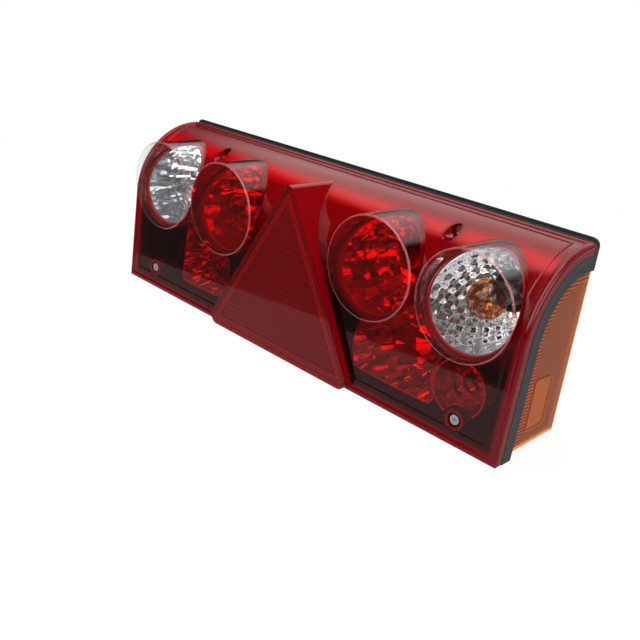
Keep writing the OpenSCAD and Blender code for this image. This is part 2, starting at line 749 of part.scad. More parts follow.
// The side marker's bulb stands upright in a holder in its well
module marker_holder() color([0.2, 0.2, 0.22])
    translate([well_x, marker_y - marker_holder_h / 2, marker_base_z - marker_holder_h])
        cube([marker_holder_w, marker_holder_h, marker_holder_h]);
module marker_bulb() color(clear_glass) translate([marker_x, marker_y, marker_base_z]) {
    cylinder(r = marker_bulb_r, h = marker_glass_h);
    translate([0, 0, marker_glass_h]) sphere(marker_bulb_r);
}

// A strip on the back wall with a tab down or up to each holder that it serves
module strip(z, places) color([0.8, 0.65, 0.3]) {
    xs = [for (p = places) p[0]];
    translate([min(xs) - strip_w / 2, -wall_t - strip_t, z - strip_w / 2])
        cube([max(xs) - min(xs) + strip_w, strip_t, strip_w]);
    for (p = places) translate([p[0] - strip_w / 2, -wall_t - strip_t, p[1] + holder_r - eps])
        cube([strip_w, strip_t, z - p[1] - holder_r + eps]);
}

// Room for the holders that a strip's tabs lie against
module holder_room(places) {
    for (p = places) facing(p, 0) cylinder(r = holder_r + weld_gap, h = holder_front);
}

module earth_strip() difference() {
    strip(tube_z + cup_hole_r + strip_lift, cup_places);
    holder_room(cup_places);
}
module supply_strip() difference() {
    strip(fan_z + fan_hole_r + strip_lift, fan_places);
    holder_room(fan_places);
}

module lens_screws() color([0.8, 0.8, 0.8]) for (s = screws)
    facing([s[0], s[1]], s[2] - seal_t) {
        difference() {
            cylinder(r = screw_head_r, h = screw_head_h);
            for (a = [0, 90]) rotate([0, 0, a]) translate([0, 0, screw_head_h])
                cube([slot_l, slot_w, slot_h * 2], center = true);
        }
        translate([0, 0, seal_t - screw_len]) cylinder(r = screw_r, h = screw_len - seal_t + eps);
    }

module screw_seals() color([0.15, 0.15, 0.15]) for (s = screws)
    facing([s[0], s[1]], s[2]) difference() {
        cylinder(r = screw_head_r + 0.8, h = seal_t);
        translate([0, 0, -1]) cylinder(r = screw_r + 0.1, h = seal_t + 2);
    }

// Bolts with a hex head inside and a square neck in the back wall
module mounting_studs() color([0.75, 0.76, 0.78]) for (x = [-stud_pitch / 2, stud_pitch / 2])
    translate([x, 0, 0]) {
        translate([0, -wall_t, 0]) rotate([90, 0, 0])
            cylinder(r = stud_head_r, h = stud_head_h, $fn = 6);
        translate([-stud_neck_w / 2, -wall_t - eps, -stud_neck_w / 2])
            cube([stud_neck_w, wall_t + eps, stud_neck_w]);
        translate([0, -eps, 0]) rotate([-90, 0, 0])
            cylinder(r = stud_r, h = stud_out - stud_tip + eps);
        translate([0, stud_out - stud_tip, 0]) rotate([-90, 0, 0])
            cylinder(r1 = stud_r, r2 = stud_r - stud_tip, h = stud_tip);
    }

// Turns a revolved form so that its axis points out of the back, starting at y
module rearward(p, y) {
    translate([p[0], y, p[1]]) rotate([-90, 0, 0]) children();
}

module pin_holes(r, h) {
    cylinder(r = r, h = h);
    for (a = [30:60:330]) rotate([0, 0, a]) translate([pin_ring, 0, 0]) cylinder(r = r, h = h);
}

module connector_socket() color([0.08, 0.08, 0.09]) rearward(conn_place, 0) difference() {
    union() {
        translate([0, 0, -wall_t - 3]) cylinder(r = conn_bore_r, h = conn_out);
        translate([0, 0, conn_flange_y]) cylinder(r = conn_flange_r, h = 2.5);
        translate([0, 0, conn_flange_y]) cylinder(r = conn_r, h = conn_out - conn_flange_y);
        // Bayonet lugs on the collar
        for (a = [0:120:240]) rotate([0, 0, a])
            translate([conn_r - 1, 0, conn_out - 6]) cube([4, 4, 4], center = true);
    }
    translate([0, 0, conn_flange_y + 3]) cylinder(r = conn_r - 3, h = conn_out);
    translate([0, 0, -wall_t - pin_in - 1]) pin_holes(pin_r + 0.02, conn_out);
}

module connector_pins() color([0.8, 0.72, 0.45]) rearward(conn_place, -wall_t - pin_in)
    pin_holes(pin_r, wall_t + pin_in + pin_out);

module connector_seal() color([0.12, 0.12, 0.12]) rearward(conn_place, -recess_d) difference() {
    cylinder(r = conn_r + 1, h = conn_flange_y + recess_d);
    translate([0, 0, -1]) cylinder(r = conn_bore_r + 0.1, h = conn_flange_y + recess_d + 2);
}

module vent_plug() color([0.08, 0.08, 0.09]) rearward(vent_place, -recess_d) difference() {
    union() {
        translate([0, 0, recess_d - wall_t - 2]) cylinder(r = vent_r, h = wall_t + 2);
        cylinder(r = vent_flange_r, h = vent_h);
    }
    for (a = [0:60:120]) rotate([0, 0, a]) translate([0, 0, vent_h])
        cube([2 * vent_flange_r + 1, 1.2, 3], center = true);
}

housing();
lens_gasket();
lens_body();
reverse_window();
fog_window();
stop_window();
indicator_window();
triangle_reflector();
side_marker_lens();
reverse_reflector();
fog_reflector();
stop_reflector();
indicator_reflector();
left_tail_reflector();
right_tail_reflector();
right_ring_reflector();
reflector_panel();
reverse_bulb();
fog_bulb();
stop_bulb();
indicator_bulb();
left_tail_bulb();
right_tail_bulb();
marker_bulb();
reverse_cap();
fog_cap();
stop_cap();
indicator_cap();
left_tail_cap();
right_tail_cap();
reverse_holder();
fog_holder();
stop_holder();
indicator_holder();
left_tail_holder();
right_tail_holder();
marker_holder();
earth_strip();
supply_strip();
lens_screws();
screw_seals();
mounting_studs();
connector_socket();
connector_pins();
connector_seal();
vent_plug();
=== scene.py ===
import math

import bmesh
import bpy
from bpy.props import FloatProperty, FloatVectorProperty, PointerProperty
from mathutils import Matrix, Vector


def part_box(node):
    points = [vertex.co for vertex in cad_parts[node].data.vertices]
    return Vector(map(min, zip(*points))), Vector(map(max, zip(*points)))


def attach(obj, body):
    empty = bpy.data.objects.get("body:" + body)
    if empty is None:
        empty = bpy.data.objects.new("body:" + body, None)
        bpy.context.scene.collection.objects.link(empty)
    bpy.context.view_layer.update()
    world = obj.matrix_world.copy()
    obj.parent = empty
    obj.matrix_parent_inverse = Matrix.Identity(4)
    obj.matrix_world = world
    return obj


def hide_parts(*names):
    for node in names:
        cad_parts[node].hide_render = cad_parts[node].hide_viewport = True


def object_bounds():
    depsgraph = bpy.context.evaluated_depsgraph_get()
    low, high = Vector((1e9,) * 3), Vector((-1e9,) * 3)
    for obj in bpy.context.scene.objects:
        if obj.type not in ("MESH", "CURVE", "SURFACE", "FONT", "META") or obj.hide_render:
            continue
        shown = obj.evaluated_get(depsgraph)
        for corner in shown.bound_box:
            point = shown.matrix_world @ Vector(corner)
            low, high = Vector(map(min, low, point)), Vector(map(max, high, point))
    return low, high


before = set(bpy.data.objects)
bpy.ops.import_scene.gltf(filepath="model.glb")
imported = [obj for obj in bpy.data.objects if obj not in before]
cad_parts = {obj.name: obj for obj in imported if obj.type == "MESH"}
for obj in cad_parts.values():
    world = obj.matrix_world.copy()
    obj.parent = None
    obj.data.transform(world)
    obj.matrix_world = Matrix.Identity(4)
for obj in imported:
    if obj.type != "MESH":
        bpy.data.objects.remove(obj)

bl_info = {
    "name": "Rear combination lamp",
    "version": (1, 0, 0),
    "blender": (4, 5, 0),
    "location": "View3D > Sidebar > Rear lamp",
    "description": "Lenses, reflectors and bulbs of a rear lamp around its packed solids",
    "category": "Object",
}

BODY = "root"
MM = 0.001
WHITE = (1.0, 1.0, 1.0)
CAD_BOX = [list(corner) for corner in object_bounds()]


def box_in_mm(node):
    """Low and high corner of a node's box, in millimetres."""
    return [[value / MM for value in corner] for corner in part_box(node)]


def middle(node):
    """Middle of a node's box, as X and Z in millimetres."""
    low, high = box_in_mm(node)
    return (low[0] + high[0]) / 2, (low[2] + high[2]) / 2


TUBE_NAMES = ("reverse", "fog", "stop", "indicator")
TAIL_NAMES = ("left_tail", "right_tail")
TUBE_PLACES = {name: middle(f"{name}_window") for name in TUBE_NAMES}
TAIL_PLACES = {name: middle(f"{name}_bulb") for name in TAIL_NAMES}
RING_PLACE = middle("right_ring_reflector")
SCREWS = [(side * x, z) for x, z in ((164.0, -52.5), (118.0, 56.0)) for side in (-1, 1)]


def shade(colour, share):
    """A colour made darker or lighter."""
    return tuple(channel * share for channel in colour)


def root_of(colour):
    """Tint of one skin, when a wall has two."""
    return tuple(channel ** 0.5 for channel in colour)


def make_piece(name, points, faces, material, sharp_from=None, stands_for=()):
    """A mesh from points in millimetres, set on the lamp; edges steeper than sharp_from are crisp."""
    mesh = bpy.data.meshes.new(name)
    mesh.from_pydata([tuple(v * MM for v in point) for point in points], [], faces)
    mesh.materials.append(material)
    shape = bmesh.new()
    shape.from_mesh(mesh)
    bmesh.ops.recalc_face_normals(shape, faces=shape.faces)
    for face in shape.faces:
        face.smooth = sharp_from is not None
    if sharp_from is not None:
        for edge in shape.edges:
            edge.smooth = len(edge.link_faces) != 2 or edge.calc_face_angle() < sharp_from
    shape.to_mesh(mesh)
    shape.free()
    piece = bpy.data.objects.new(name, mesh)
    bpy.context.scene.collection.objects.link(piece)
    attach(piece, BODY)
    if stands_for:
        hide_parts(*stands_for)


def add_mesh(points, faces, more_points, more_faces):
    """Appends one mesh's points and faces to another's."""
    start = len(points)
    points.extend(more_points)
    faces.extend(tuple(start + k for k in face) for face in more_faces)


def rod(path, radius, sides=6):
    """Points and faces of a round wire along a path."""
    points, faces = [], []
    path = [Vector(p) for p in path]
    end = len(path) - 1
    for i, here in enumerate(path):
        along = (path[min(i + 1, end)] - path[max(i - 1, 0)]).normalized()
        if i == 0:
            aside = along.orthogonal()
        else:
            aside = aside - along * aside.dot(along)
        aside.normalize()
        over = along.cross(aside)
        for k in range(sides):
            turn = math.tau * k / sides
            points.append(here + (aside * math.cos(turn) + over * math.sin(turn)) * radius)
    for i in range(end):
        for k in range(sides):
            a, b = i * sides + k, i * sides + (k + 1) % sides
            faces.append((a, b, b + sides, a + sides))
    last = end * sides
    faces.append(tuple(range(sides - 1, -1, -1)))
    faces.append(tuple(range(last, last + sides)))
    return points, faces


class Wire:
    """A shader socket, so that node maths reads as a Python expression."""

    def __init__(self, finish, socket):
        self.finish = finish
        self.socket = socket

    def math(self, operation, *values):
        inputs = dict(enumerate(values))
        return self.finish.node("ShaderNodeMath", {"operation": operation}, inputs)

    def __add__(self, other):
        return self.math("ADD", self, other)

    def __radd__(self, other):
        return self.math("ADD", other, self)

    def __sub__(self, other):
        return self.math("SUBTRACT", self, other)

    def __rsub__(self, other):
        return self.math("SUBTRACT", other, self)

    def __mul__(self, other):
        return self.math("MULTIPLY", self, other)

    def __rmul__(self, other):
        return self.math("MULTIPLY", other, self)

    def __truediv__(self, other):
        return self.math("DIVIDE", self, other)

    def __rtruediv__(self, other):
        return self.math("DIVIDE", other, self)

    def __pow__(self, other):
        return self.math("POWER", self, other)

    def __rpow__(self, other):
        return self.math("POWER", other, self)

    def __abs__(self):
        return self.math("ABSOLUTE", self)

    def __or__(self, other):
        """The larger of two masks."""
        return self.math("MAXIMUM", self, other)

    def __ror__(self, other):
        return self.math("MAXIMUM", other, self)


class Finish:
    """The node tree of one material or of the world; node() makes each of its nodes."""

    def __init__(self, owner, output="ShaderNodeOutputMaterial"):
        owner.use_nodes = True
        self.tree = owner.node_tree
        self.tree.nodes.clear()
        self.output = self.tree.nodes.new(output)

    def node(self, kind, settings=None, inputs=None, output=0):
        """A new node: its settings first, then values or links for its sockets."""
        made = self.tree.nodes.new(kind)
        for name, value in (settings or {}).items():
            setattr(made, name, value)
        for name, value in (inputs or {}).items():
            if isinstance(value, Wire):
                self.tree.links.new(value.socket, made.inputs[name])
            elif isinstance(value, tuple) and made.inputs[name].type == "RGBA":
                made.inputs[name].default_value = (*value, 1.0)
            else:
                made.inputs[name].default_value = value
        return Wire(self, made.outputs[output])

    def show(self, shader):
        self.tree.links.new(shader.socket, self.output.inputs["Surface"])

    def place(self):
        """Where a point lies on the lamp, in metres."""
        return self.node("ShaderNodeTexCoord", output="Object")

    def axis(self, letter):
        """How far along X, Y or Z a point lies on the lamp, in metres."""
        return self.node("ShaderNodeSeparateXYZ", None, {"Vector": self.place()}, letter)

    def noise(self, scale, detail):
        return self.node("ShaderNodeTexNoise", {"noise_dimensions": "3D"}, {
            "Vector": self.place(), "Scale": scale, "Detail": detail})

    def blend(self, factor, low, high):
        """A colour between low and high."""
        return self.node("ShaderNodeMix", {"data_type": "RGBA"}, {
            "Factor": factor, "A": low, "B": high}, "Result")

    def spread(self, value, low, high, out_low, out_high, smooth=False):
        """A value stretched from one range onto another, and held at its ends."""
        kind = "SMOOTHERSTEP" if smooth else "LINEAR"
        return self.node("ShaderNodeMapRange", {"interpolation_type": kind}, {
            "Value": value, "From Min": low, "From Max": high,
            "To Min": out_low, "To Max": out_high}, "Result")

    def rise(self, value, low, high, full=1.0):
        """0 up to low and full from high on."""
        return self.spread(value, low, high, 0.0, full)

    def fall(self, value, low, high, full=1.0):
        """Full up to low and 0 from high on."""
        return self.spread(value, low, high, full, 0.0)

    def gloss(self, wave, smoothest, roughest):
        """A roughness that wanders with a noise."""
        return self.spread(wave, 0.3, 0.7, smoothest, roughest)

    def bump(self, height, depth, strength=1.0):
        return self.node("ShaderNodeBump", None, {
            "Height": height, "Distance": depth, "Strength": strength}, "Normal")

    def ray(self, kind):
        """Whether a ray is of a kind, such as Camera or Glossy."""
        return self.node("ShaderNodeLightPath", output=f"Is {kind} Ray")

    def principled(self, **sockets):
        names = {name.replace("_", " "): value for name, value in sockets.items()}
        return self.node("ShaderNodeBsdfPrincipled", None, names)

    def emission(self, strength):
        return self.node("ShaderNodeEmission", None, {"Color": WHITE, "Strength": strength})

    def mixed(self, factor, low, high):
        return self.node("ShaderNodeMixShader", None, {0: factor, 1: low, 2: high})

    def thin_wall(self, tint, roughness, normal=None, polish=0.04):
        """One skin of a thin clear moulding: tinted through, and glossy by its slant."""
        slant = self.node("ShaderNodeLayerWeight", None, {"Blend": 0.5}, "Facing")
        shine = slant ** 5 * (1.0 - polish) + polish
        through = self.node("ShaderNodeBsdfTransparent", None, {"Color": tint})
        sockets = {"Color": WHITE, "Roughness": roughness}
        if normal is not None:
            sockets["Normal"] = normal
        mirror = self.node("ShaderNodeBsdfAnisotropic", {"distribution": "GGX"}, sockets)
        return self.mixed(shine, through, mirror)


def new_finish(name):
    material = bpy.data.materials.new(name)
    return material, Finish(material)


def dress(material, *names):
    """Gives CAD nodes their finish."""
    for name in names:
        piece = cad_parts[name]
        piece.data.materials.clear()
        piece.data.materials.append(material)


def from_line(across, above):
    """How far a point lies from a line that it is across and above of."""
    return (across * across + above * above) ** 0.5


def from_curve(finish, shape):
    """Distance of a point from the line that the lens curves round, or from its plane lower down."""
    deep = finish.axis("Y") + shape.curve_depth
    above = finish.axis("Z") - shape.curve_height
    return from_line(deep, above | 0.0)


def glass(name, colour):
    """Blown glass of a bulb."""
    material, finish = new_finish(name)
    wave = finish.noise(70.0, 2.0)
    finish.show(finish.thin_wall(root_of(colour), finish.gloss(wave, 0.01, 0.04),
                                 finish.bump(wave, 0.00003)))
    return material


def opaque(name, colour, rough, grain=360.0, detail=4.0, patch=0.8, metallic=1.0, pores=None):
    """A metal, coat or dull plastic whose colour and gloss wander.

    rough is its smoothest and its roughest, grain and detail say how fine its patches are, patch is
    their share of the colour, and pores is the scale and depth of a fine bump.
    """
    material, finish = new_finish(name)
    wear = finish.noise(grain, detail)
    sockets = {}
    if pores:
        scale, depth = pores
        sockets["Normal"] = finish.bump(finish.noise(scale, 3.0), depth, 0.5)
    finish.show(finish.principled(
        Base_Color=finish.blend(wear, tuple(colour), shade(colour, patch)), Metallic=metallic,
        Roughness=finish.gloss(wear, *rough), **sockets))
    return material


class LampStage(bpy.types.PropertyGroup):
    eye: FloatVectorProperty(
        name="Camera place", description="Where the camera stands",
        default=(0.405614, -0.477495, 0.192704), subtype="TRANSLATION", unit="LENGTH")
    right: FloatVectorProperty(
        name="Camera right", description="Direction of the picture's right side",
        default=(0.70775, 0.69753, 0.11201), subtype="DIRECTION")
    up: FloatVectorProperty(
        name="Camera up", description="Direction of the picture's upper side",
        default=(-0.33861, 0.19577, 0.92034), subtype="DIRECTION")
    focal: FloatProperty(
        name="Focal length", description="Camera focal length on a 36 mm sensor",
        default=45.91, unit="CAMERA")
    floor_size: FloatProperty(
        name="Floor width", description="Side of the square floor", default=6.0, unit="LENGTH")
    floor_grey: FloatProperty(
        name="Floor white", description="Share of light the floor sends back",
        default=0.8, subtype="FACTOR", min=0.0, max=1.0)
    floor_glow: FloatProperty(
        name="Floor background", description="How far the floor by the lamp shows as plain white",
        default=0.93, subtype="FACTOR", min=0.0, max=1.0)
    floor_shine: FloatProperty(
        name="Floor in reflections",
        description="Brightness of the floor before the lamp in its gloss",
        default=0.45, min=0.0)
    card_grey: FloatProperty(
        name="Dark card grey", description="Brightness of the dark card before the lamp",
        default=0.11, subtype="FACTOR", min=0.0, max=1.0)
    card_gap: FloatProperty(
        name="Dark card gap", description="Pale floor left in front of the lamp's middle",
        default=0.085, unit="LENGTH")
    sky: FloatProperty(
        name="Sky strength", description="Light of the surroundings on the lamp",
        default=0.45, min=0.0)
    tent_radius: FloatProperty(
        name="Tent radius", description="Radius of the tent that the gloss shows",
        default=2.4, unit="LENGTH")
    tent_dark: FloatProperty(
        name="Tent dark", description="Brightness of the tent's dark front", default=0.02, min=0.0)
    tent_bright: FloatProperty(
        name="Tent bright", description="Brightness of the tent's pale top and back",
        default=1.45, min=0.0)
    tent_crown: FloatProperty(
        name="Tent crown", description="Brightness of the patches that light the bowls",
        default=3.2, min=0.0)
    box_watts: FloatProperty(
        name="Top box power", description="Power of the overhead soft box",
        default=14.0, unit="POWER")
    side_watts: FloatProperty(
        name="Side box power", description="Power of each side soft box",
        default=5.0, unit="POWER")


class LampPlastic(bpy.types.PropertyGroup):
    red: FloatVectorProperty(
        name="Red plastic", description="Colour of light after one wall of the red lens",
        default=(0.80, 0.008, 0.012), subtype="COLOR", min=0.0, max=1.0)
    red_edge: FloatVectorProperty(
        name="Red body", description="Colour of the lens where it is thick, as in its rim",
        default=(0.11, 0.0005, 0.003), subtype="COLOR", min=0.0, max=1.0)
    red_lit: FloatVectorProperty(
        name="Red glow", description="Colour of the lens's upper curve, lit from above",
        default=(0.22, 0.0008, 0.0025), subtype="COLOR", min=0.0, max=1.0)
    clear: FloatVectorProperty(
        name="Clear plastic", description="Colour of light after one wall of a clear tube",
        default=(0.93, 0.95, 0.95), subtype="COLOR", min=0.0, max=1.0)
    reflex: FloatVectorProperty(
        name="Reflex red", description="Colour of the triangle's prisms",
        default=(0.20, 0.001, 0.004), subtype="COLOR", min=0.0, max=1.0)
    amber: FloatVectorProperty(
        name="Amber plastic", description="Colour of light after one wall of the side marker",
        default=(0.95, 0.36, 0.05), subtype="COLOR", min=0.0, max=1.0)
    amber_edge: FloatVectorProperty(
        name="Amber body", description="Colour of the side marker's own plastic",
        default=(0.34, 0.075, 0.010), subtype="COLOR", min=0.0, max=1.0)
    chrome: FloatVectorProperty(
        name="Metal coat", description="Colour of the metallised reflectors",
        default=(0.88, 0.88, 0.90), subtype="COLOR", min=0.0, max=1.0)
    case: FloatVectorProperty(
        name="Case black", description="Colour of the housing",
        default=(0.012, 0.012, 0.013), subtype="COLOR", min=0.0, max=1.0)
    rubber: FloatVectorProperty(
        name="Rubber grey", description="Colour of the gaskets",
        default=(0.020, 0.025, 0.031), subtype="COLOR", min=0.0, max=1.0)


class LampShape(bpy.types.PropertyGroup):
    curve_radius: FloatProperty(
        name="Curve radius", description="Radius of the lens where it turns over the top",
        default=0.0616, unit="LENGTH")
    curve_depth: FloatProperty(
        name="Curve depth", description="Distance of the curve's centre from the back face",
        default=0.007, unit="LENGTH")
    curve_height: FloatProperty(
        name="Curve height", description="Height of the curve's centre",
        default=0.006, unit="LENGTH")
    lean: FloatProperty(
        name="Face lean", description="How far the face leans back up to the curve",
        default=0.0037, unit="LENGTH")
    bowl_radius: FloatProperty(
        name="Bowl mouth", description="Radius of a reflector bowl's mouth",
        default=0.032, unit="LENGTH")
    bowl_hole: FloatProperty(
        name="Bowl hole", description="Radius of its hole for the bulb",
        default=0.0144, unit="LENGTH")
    bowl_back: FloatProperty(
        name="Bowl back", description="Distance of a bowl's back from the back face",
        default=0.016, unit="LENGTH")
    wall: FloatProperty(
        name="Reflector wall", description="Wall of the reflectors", default=0.0013, unit="LENGTH")
    prism: FloatProperty(
        name="Prism side", description="Side of one corner prism in the triangle",
        default=0.0027, unit="LENGTH")


class RearLampOperator:
    """What the lamp's operators share."""
    bl_options = {"REGISTER", "UNDO"}

    @property
    def plastics(self):
        return bpy.context.scene.rear_lamp_plastic

    @property
    def shape(self):
        return bpy.context.scene.rear_lamp_shape


class REARLAMP_OT_stage(RearLampOperator, bpy.types.Operator):
    """Sets the camera, floor, surroundings and soft boxes"""
    bl_idname = "rearlamp.stage"
    bl_label = "Camera and stage"

    def execute(self, context):
        scene = context.scene
        stage = scene.rear_lamp_stage
        self.camera(scene, stage)
        self.floor(stage)
        self.dark_card(stage)
        self.tent(stage)
        self.surroundings(scene, stage)
        self.soft_boxes(scene, stage)
        scene.view_settings.view_transform = "Standard"
        scene.cycles.transparent_max_bounces = 32
        return {"FINISHED"}

    @staticmethod
    def camera(scene, stage):
        right, up = Vector(stage.right).normalized(), Vector(stage.up).normalized()
        back = right.cross(up)
        data = bpy.data.cameras.new("camera")
        data.lens = stage.focal
        data.sensor_width = 36.0
        data.clip_start = 0.01
        camera = bpy.data.objects.new("camera", data)
        turn = Matrix((right, up, back)).transposed().to_4x4()
        camera.matrix_world = Matrix.Translation(stage.eye) @ turn
        scene.collection.objects.link(camera)
        scene.camera = camera

    @staticmethod
    def stage_mesh(name, points, faces, material, only_gloss):
        mesh = bpy.data.meshes.new(name)
        mesh.from_pydata(points, [], faces)
        mesh.materials.append(material)
        thing = bpy.data.objects.new(name, mesh)
        bpy.context.scene.collection.objects.link(thing)
        if only_gloss:
            for kind in ("camera", "diffuse", "transmission", "shadow"):
                setattr(thing, f"visible_{kind}", False)

    def floor(self, stage):
        """A pale floor that shows white and keeps the lamp's shadow."""
        material, finish = new_finish("pale floor")
        far = finish.node("ShaderNodeVectorMath", {"operation": "LENGTH"},
                          {0: finish.place()}, "Value")
        glow = finish.spread(far, 0.3, 0.9, stage.floor_glow, 1.0)
        paint = finish.principled(Base_Color=(stage.floor_grey,) * 3, Roughness=0.7)
        straight = finish.ray("Camera") | finish.ray("Transmission")
        seen = finish.mixed(straight * glow, paint, finish.emission(1.0))
        finish.show(finish.mixed(finish.ray("Glossy"), seen, finish.emission(stage.floor_shine)))
        half, level = stage.floor_size / 2, CAD_BOX[0][2]
        corners = [(x * half, y * half, level) for x, y in ((-1, -1), (1, -1), (1, 1), (-1, 1))]
        self.stage_mesh("floor", corners, [(0, 1, 2, 3)], material, only_gloss=False)

    def dark_card(self, stage):
        """A card on the floor, whose edge runs aslant before the lamp and shows in its gloss."""
        material, finish = new_finish("dark card")
        finish.show(finish.emission(stage.card_grey))
        half, front = stage.floor_size / 2, CAD_BOX[0][1]
        outline = [(-half, -half), (half, -half), (half, front - 0.5), (0.3, front - 0.15),
                   (-0.03, front - stage.card_gap), (-0.22, front - 0.045),
                   (-0.35, front - 0.02), (-half, front - 0.02)]
        corners = [(x, y, CAD_BOX[0][2] + MM) for x, y in outline]
        self.stage_mesh("dark_card", corners, [tuple(range(len(corners)))], material,
                        only_gloss=True)

    def tent(self, stage):
        """What the gloss shows above the floor: dark in front, pale overhead and behind."""
        turns, rings = 32, 10
        base = CAD_BOX[0][2]
        points, faces = [], []
        for j in range(rings + 1):
            rise = math.pi / 2 * j / rings
            for i in range(turns):
                turn = math.tau * i / turns
                points.append((stage.tent_radius * math.cos(rise) * math.cos(turn),
                               stage.tent_radius * math.cos(rise) * math.sin(turn),
                               base + stage.tent_radius * math.sin(rise)))
        for j in range(rings):
            for i in range(turns):
                a, b = j * turns + i, j * turns + (i + 1) % turns
                faces.append((a, b, b + turns, a + turns))
        material, finish = new_finish("tent cloth")
        height, back, side = (finish.axis(letter) / stage.tent_radius for letter in "ZYX")
        high_or_behind = height + back * 0.75 - (side | 0.0) * 0.9
        pale = finish.spread(high_or_behind, 0.63, 0.92, stage.tent_dark, stage.tent_bright,
                             smooth=True)
        pale = pale * finish.spread(height, 0.36, 0.55, 0.35, 1.0)
        before = finish.fall(back, 0.05, 0.25)
        right_of_middle = finish.rise(side, -0.35, -0.15)
        beside_dark_gap = finish.spread(abs(side - 0.55), 0.12, 0.2, 0.05, 1.0)
        crown = finish.rise(height, 0.1, 0.25, stage.tent_crown)
        crown = crown * right_of_middle * before * beside_dark_gap
        finish.show(finish.emission(pale | crown))
        self.stage_mesh("tent", points, faces, material, only_gloss=True)

    @staticmethod
    def surroundings(scene, stage):
        """White where the camera or a reflection sees it, and dimmer as a light."""
        scene.world = bpy.data.worlds.new("surroundings")
        finish = Finish(scene.world, "ShaderNodeOutputWorld")
        seen = finish.ray("Camera") | finish.ray("Glossy") | finish.ray("Transmission")
        finish.show(finish.node("ShaderNodeBackground", None, {
            "Color": WHITE, "Strength": seen * (1.0 - stage.sky) + stage.sky}))

    @staticmethod
    def soft_boxes(scene, stage):
        """Area lamps: where each stands, its width and height, and its power."""
        boxes = {
            "top box": ((0.0, -0.15, 0.95), (1.1, 0.7), stage.box_watts),
            "left box": ((-0.9, -0.9, 0.5), (0.7, 0.7), stage.side_watts),
            "right box": ((1.1, -0.3, 0.45), (0.6, 0.6), stage.side_watts),
        }
        target = Vector((0.0, -0.04, 0.0))
        for name, (where, size, watts) in boxes.items():
            data = bpy.data.lights.new(name, "AREA")
            data.shape = "RECTANGLE"
            data.size, data.size_y = size
            data.energy = watts
            lamp = bpy.data.objects.new(name, data)
            lamp.location = where
            lamp.rotation_euler = (target - Vector(where)).to_track_quat("-Z", "Y").to_euler()
            lamp.visible_camera = False
            lamp.visible_glossy = False
            lamp.visible_transmission = False
            scene.collection.objects.link(lamp)


